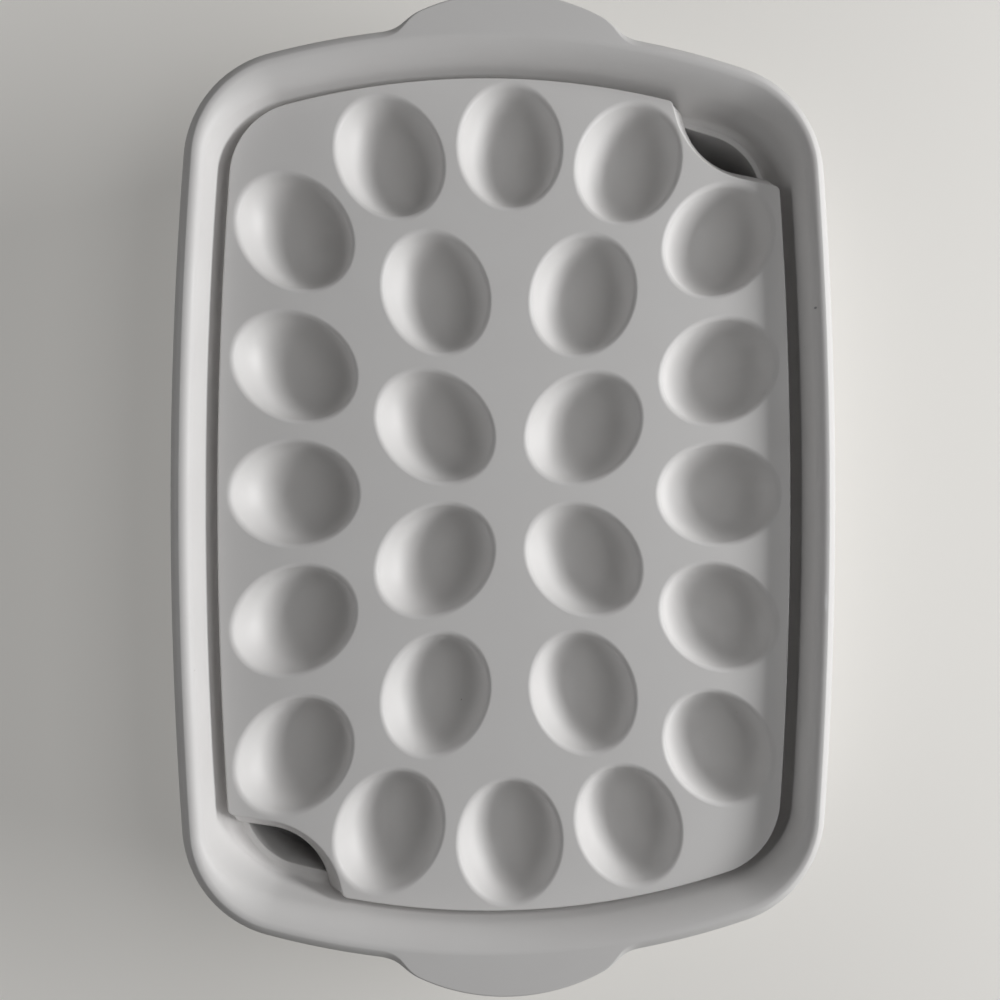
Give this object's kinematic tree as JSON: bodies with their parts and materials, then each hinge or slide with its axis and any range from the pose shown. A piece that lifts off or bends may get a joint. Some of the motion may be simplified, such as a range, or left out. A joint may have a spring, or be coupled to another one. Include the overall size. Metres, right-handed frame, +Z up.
{
  "type": "deviled egg platter",
  "caption": "Double-walled rectangular serving tray with handle tabs, a cooling fill and a lift-out insert of egg-shaped cups.",
  "frame": {"origin": "on the table, under the middle of the tray", "axes": "+Z up, +Y along the tray towards a handle tab, +X across it"},
  "size_m": [0.3116, 0.4648, 0.068],
  "materials": {
    "white_liner": "satin, moulded",
    "white_shell": "satin, moulded",
    "cooling_gel": "soft gel",
    "plug_plastic": "satin, moulded",
    "white_insert": "satin, moulded"
  },
  "bodies": {
    "tray": {"inner_liner": "white_liner", "outer_shell": "white_shell", "cooling_gel": "cooling_gel", "fill_plug": "plug_plastic"},
    "insert": {"egg_insert": "white_insert"}
  },
  "joints": [
    {"name": "insert_lift", "type": "slide", "parent": "tray", "child": "insert", "axis": [0, 0, 1], "range_m": [0, 0.06]}
  ]
}
